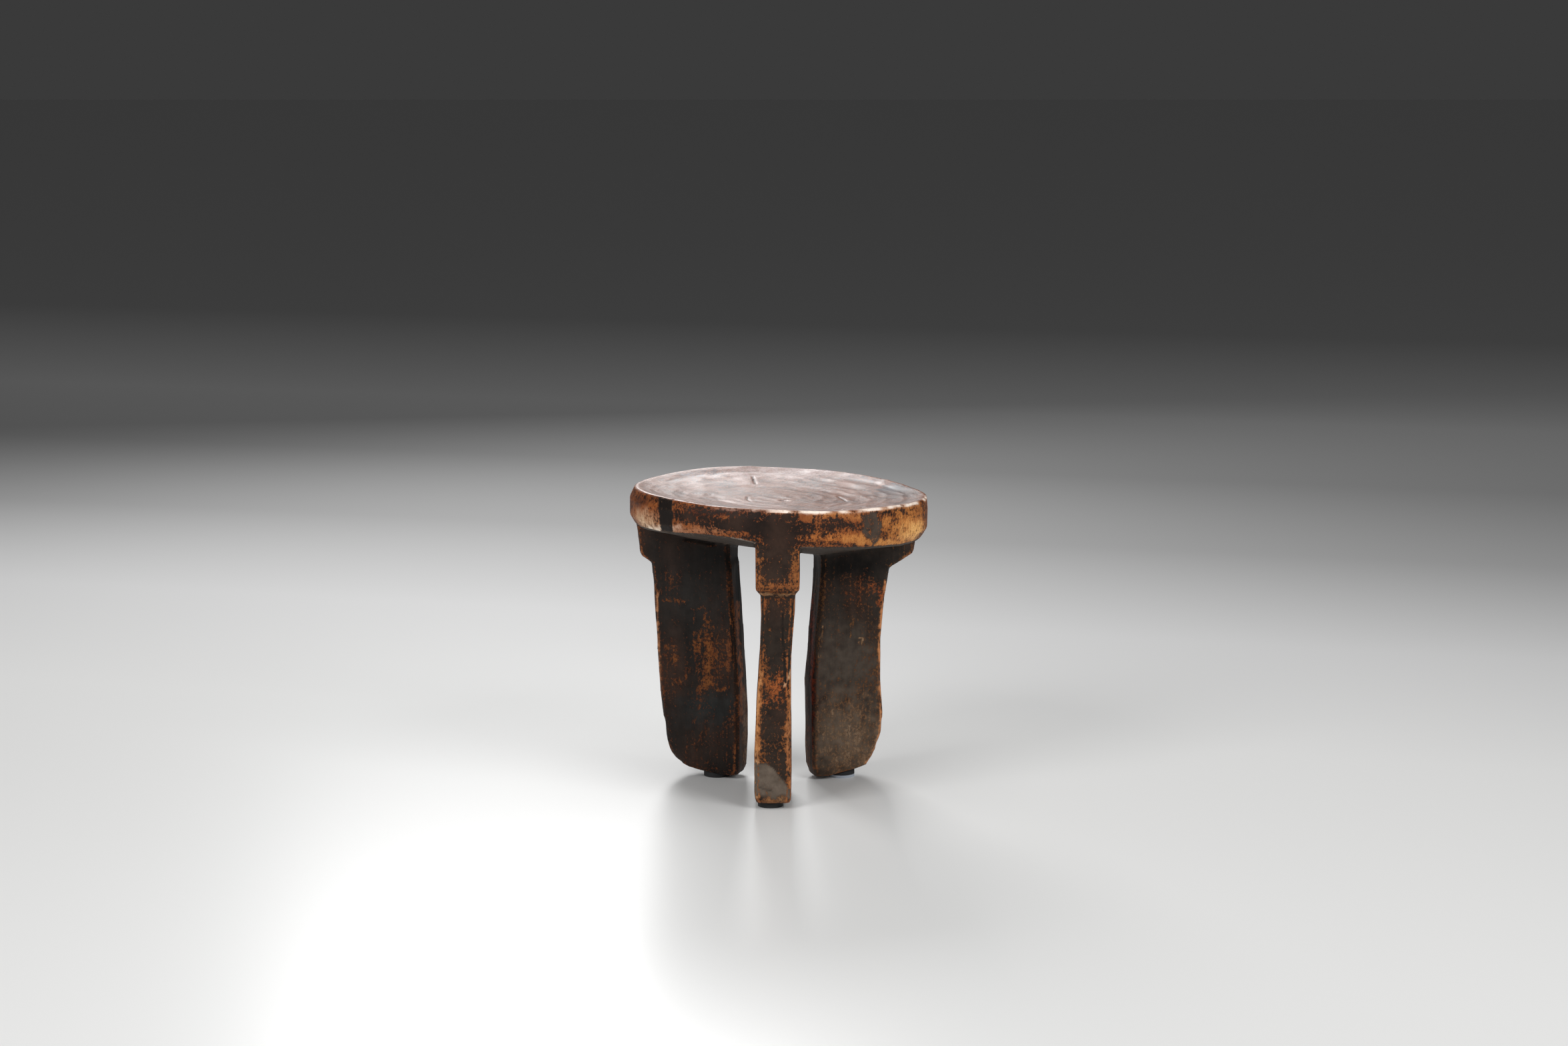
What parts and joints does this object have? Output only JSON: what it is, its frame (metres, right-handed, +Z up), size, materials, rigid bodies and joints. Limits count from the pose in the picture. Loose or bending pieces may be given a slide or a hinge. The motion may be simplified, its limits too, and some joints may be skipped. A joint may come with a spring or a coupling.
{
  "type": "three-legged carved stool",
  "caption": "Low round stool carved from one block of wood: a thick hollowed seat on upright radial plank legs with stepped shoulders, resting on small pads.",
  "frame": {"origin": "on the floor, at the middle of the stool's box", "axes": "+Z up, -Y towards the front leg, +X to the right as seen from the front"},
  "size_m": [0.303, 0.2962, 0.3082],
  "materials": {
    "carved_wood": "hand-hewn, oiled by use, dark patina with worn edges",
    "dark_pad": "matte",
    "pale_pad": "felt"
  },
  "bodies": {
    "root": {"seat": "carved_wood", "leg_front": "carved_wood", "leg_rear_left": "carved_wood", "leg_rear_right": "carved_wood", "pad_front": "dark_pad", "pad_rear_left": "dark_pad", "pad_rear_right": "pale_pad"}
  },
  "joints": []
}
